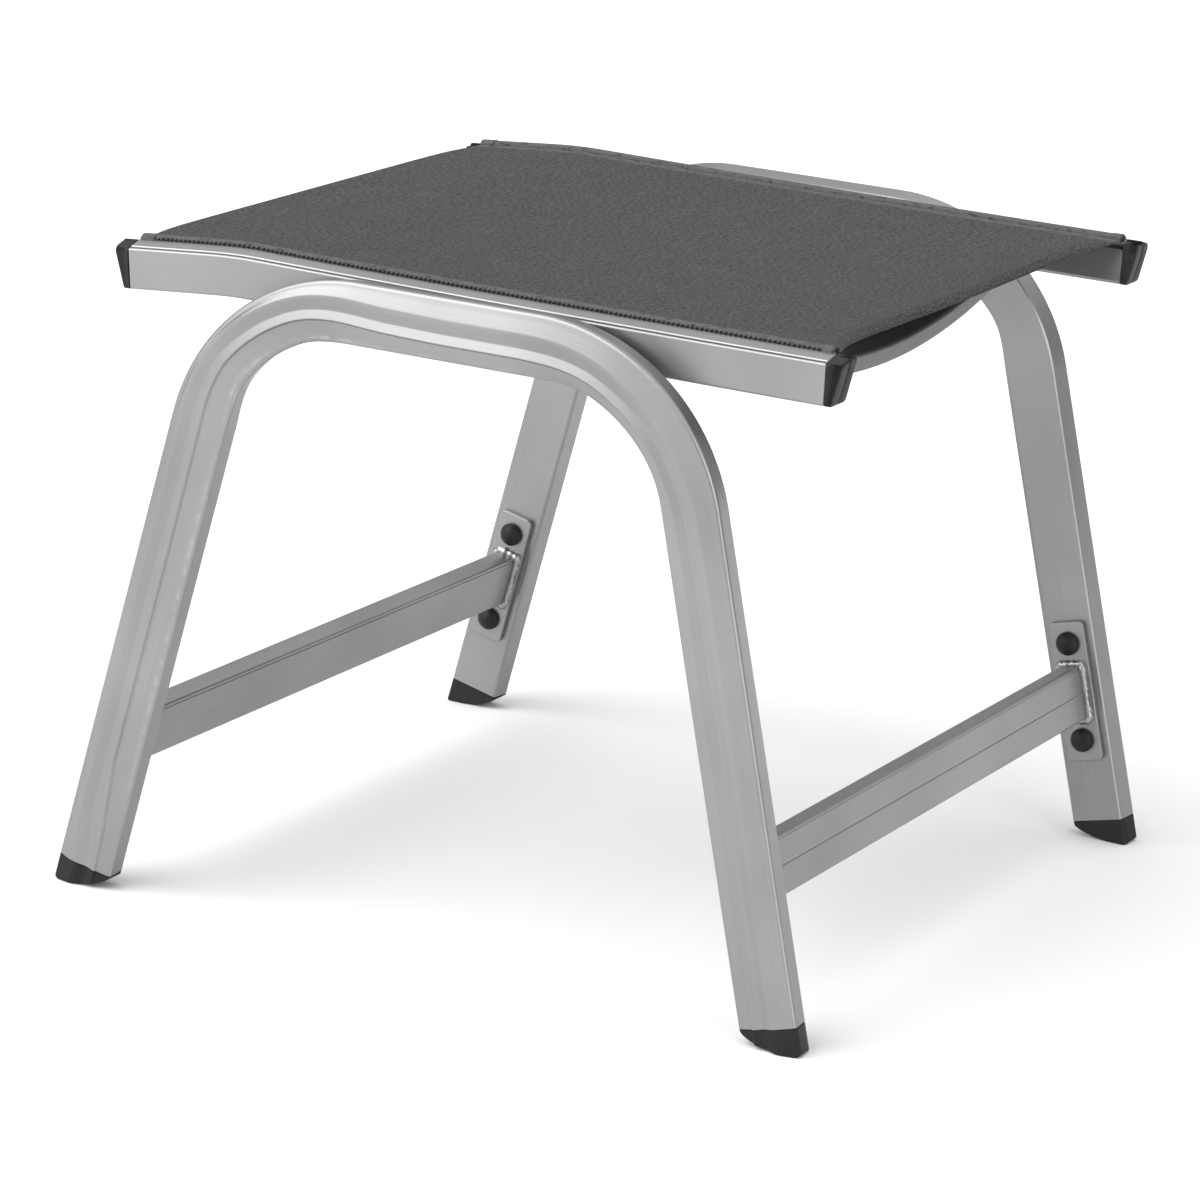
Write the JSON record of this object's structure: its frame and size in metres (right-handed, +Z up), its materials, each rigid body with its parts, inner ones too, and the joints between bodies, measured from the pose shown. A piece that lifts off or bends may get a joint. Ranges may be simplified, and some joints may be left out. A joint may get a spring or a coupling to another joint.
{
  "type": "outdoor footstool",
  "caption": "Low outdoor footstool: splayed bent-tube leg frames, straight stretchers and a dark woven sling stretched between two slim rails.",
  "frame": {"origin": "middle of the footprint, on the ground", "axes": "+X along the seat rails towards the level end, +Y from the front frame to the back frame, +Z up"},
  "size_m": [0.4998, 0.4804, 0.3979],
  "materials": {
    "frame_aluminium": "satin silver, with soft long highlights",
    "seat_fabric": "matte woven mesh, dark grey",
    "black_plastic": "fine-grained black moulding",
    "fastener_steel": "plain bright steel"
  },
  "bodies": {
    "root": {"leg_frame_front": "frame_aluminium", "seat_rail_front": "frame_aluminium", "keder_rod_front": "black_plastic", "leg_frame_back": "frame_aluminium", "seat_rail_back": "frame_aluminium", "keder_rod_back": "black_plastic", "stretcher_left": "frame_aluminium", "spreader_bar_left": "frame_aluminium", "stretcher_right": "frame_aluminium", "spreader_bar_right": "frame_aluminium", "seat_sling": "seat_fabric", "foot_cap_front_left": "black_plastic", "rail_cap_front_left": "black_plastic", "rail_spacer_front_left": "black_plastic", "stretcher_plate_front_left": "frame_aluminium", "frame_screw_front_left": "fastener_steel", "frame_nut_front_left": "fastener_steel", "plate_bolt_front_left_lower": "fastener_steel", "plate_nut_front_left_lower": "fastener_steel", "bolt_cap_front_left_lower": "black_plastic", "plate_bolt_front_left_upper": "fastener_steel", "plate_nut_front_left_upper": "fastener_steel", "bolt_cap_front_left_upper": "black_plastic", "foot_cap_front_right": "black_plastic", "rail_cap_front_right": "black_plastic", "rail_spacer_front_right": "black_plastic", "stretcher_plate_front_right": "frame_aluminium", "frame_screw_front_right": "fastener_steel", "frame_nut_front_right": "fastener_steel", "plate_bolt_front_right_lower": "fastener_steel", "plate_nut_front_right_lower": "fastener_steel", "bolt_cap_front_right_lower": "black_plastic", "plate_bolt_front_right_upper": "fastener_steel", "plate_nut_front_right_upper": "fastener_steel", "bolt_cap_front_right_upper": "black_plastic", "foot_cap_back_left": "black_plastic", "rail_cap_back_left": "black_plastic", "rail_spacer_back_left": "black_plastic", "stretcher_plate_back_left": "frame_aluminium", "frame_screw_back_left": "fastener_steel", "frame_nut_back_left": "fastener_steel", "plate_bolt_back_left_lower": "fastener_steel", "plate_nut_back_left_lower": "fastener_steel", "bolt_cap_back_left_lower": "black_plastic", "plate_bolt_back_left_upper": "fastener_steel", "plate_nut_back_left_upper": "fastener_steel", "bolt_cap_back_left_upper": "black_plastic", "foot_cap_back_right": "black_plastic", "rail_cap_back_right": "black_plastic", "rail_spacer_back_right": "black_plastic", "stretcher_plate_back_right": "frame_aluminium", "frame_screw_back_right": "fastener_steel", "frame_nut_back_right": "fastener_steel", "plate_bolt_back_right_lower": "fastener_steel", "plate_nut_back_right_lower": "fastener_steel", "bolt_cap_back_right_lower": "black_plastic", "plate_bolt_back_right_upper": "fastener_steel", "plate_nut_back_right_upper": "fastener_steel", "bolt_cap_back_right_upper": "black_plastic"}
  },
  "joints": []
}
